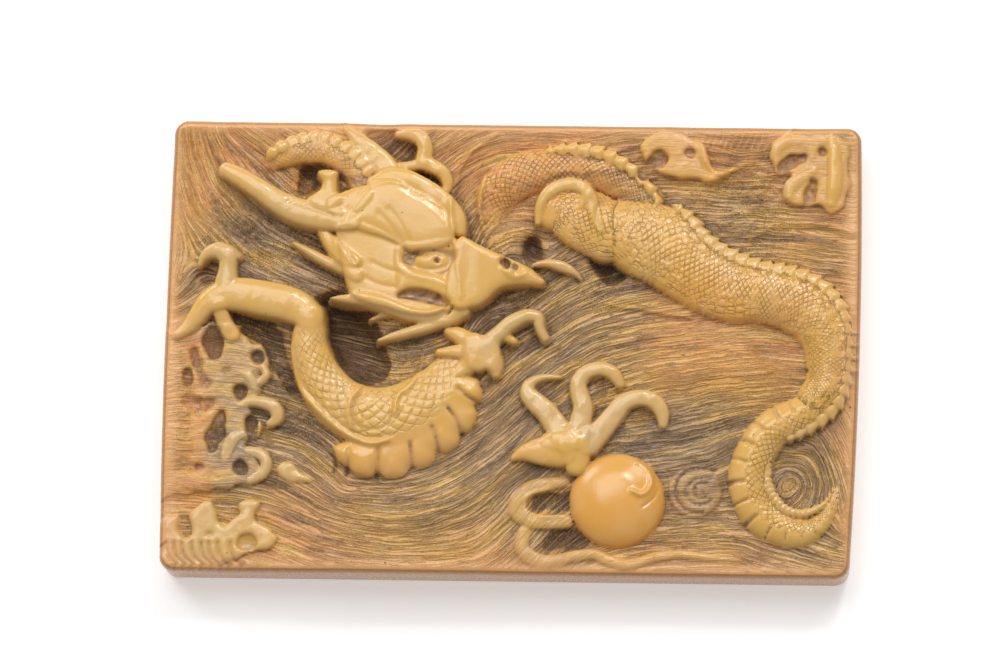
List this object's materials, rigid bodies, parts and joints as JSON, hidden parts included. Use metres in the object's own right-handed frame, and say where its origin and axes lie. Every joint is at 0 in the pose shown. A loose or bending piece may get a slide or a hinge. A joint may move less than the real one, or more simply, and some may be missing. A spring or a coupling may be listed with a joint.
{
  "type": "carved ivory plaque",
  "caption": "Small rectangular ivory plaque carved in high relief with a dragon over waves and clouds reaching for a pearl, plain flat back.",
  "frame": {"origin": "under the middle of the plaque's box, on the flat back that it lies on", "axes": "+X along the long side towards the dragon's tail, +Y towards the carving's upper edge, +Z out of the carved face"},
  "size_m": [0.061, 0.0402, 0.0081],
  "materials": {
    "ivory": "polished old ivory, honey yellow, with brown stain in the cut lines and hollows"
  },
  "bodies": {
    "root": {"plaque": "ivory"}
  },
  "joints": []
}
